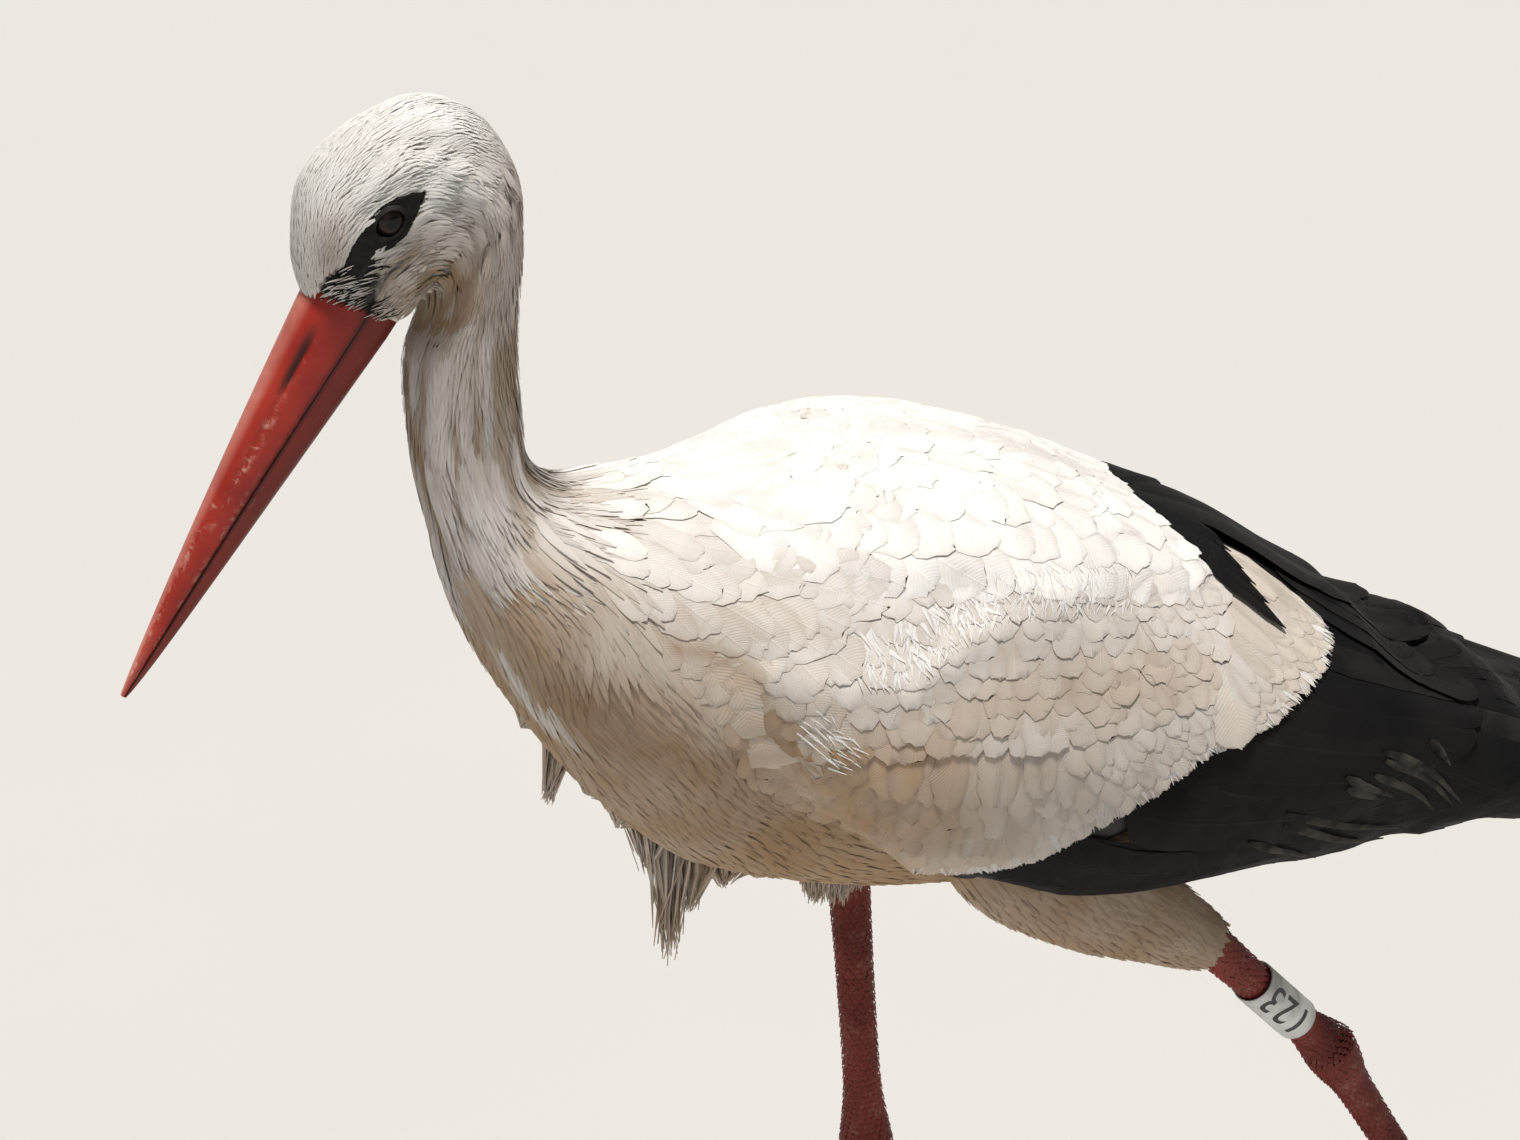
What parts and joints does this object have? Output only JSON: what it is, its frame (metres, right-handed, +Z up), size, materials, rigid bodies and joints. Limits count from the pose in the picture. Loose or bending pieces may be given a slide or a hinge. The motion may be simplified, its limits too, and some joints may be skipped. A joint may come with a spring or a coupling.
{
  "type": "white stork",
  "caption": "Life-size still model of a white stork walking with its head lowered, one foot planted and the other trailing on its toe tip, with a plastic ring on the trailing leg.",
  "frame": {"origin": "on the floor, under the middle of the whole bird's bounding box", "axes": "+X is the bird's left side, -Y the way it walks and +Z up"},
  "size_m": [0.1854, 0.6846, 0.729],
  "materials": {
    "plumage_white": "soft matte feathers, warm white with cream and tan shading",
    "plumage_black": "black flight feathers with a faint sheen and worn brown edges",
    "bill_red": "satin red horn, paler and worn along the ridge and at the tip",
    "leg_red": "dull red scaly skin with pale dust",
    "eye_dark": "wet gloss, dark brown",
    "claw_dark": "satin dark horn",
    "ring_plastic": "scuffed white plastic with plain dark digits"
  },
  "bodies": {
    "root": {"bill_lower": "bill_red", "bill_upper": "bill_red", "breast_plumes": "plumage_white", "claw_left_hallux": "claw_dark", "claw_left_inner": "claw_dark", "claw_left_middle": "claw_dark", "claw_left_outer": "claw_dark", "claw_right_hallux": "claw_dark", "claw_right_inner": "claw_dark", "claw_right_middle": "claw_dark", "claw_right_outer": "claw_dark", "eye_left": "eye_dark", "eye_right": "eye_dark", "head": "plumage_white", "neck_lower": "plumage_white", "neck_upper": "plumage_white", "ring_left": "ring_plastic", "shank_left": "leg_red", "shank_right": "leg_red", "tail": "plumage_white", "tarsus_left": "leg_red", "tarsus_right": "leg_red", "thigh_left": "plumage_white", "thigh_right": "plumage_white", "toe_left_hallux": "leg_red", "toe_left_inner": "leg_red", "toe_left_middle": "leg_red", "toe_left_outer": "leg_red", "toe_right_hallux": "leg_red", "toe_right_inner": "leg_red", "toe_right_middle": "leg_red", "toe_right_outer": "leg_red", "trunk": "plumage_white", "wing_feathers_left": "plumage_black", "wing_feathers_right": "plumage_black", "wing_left": "plumage_white", "wing_right": "plumage_white"}
  },
  "joints": []
}
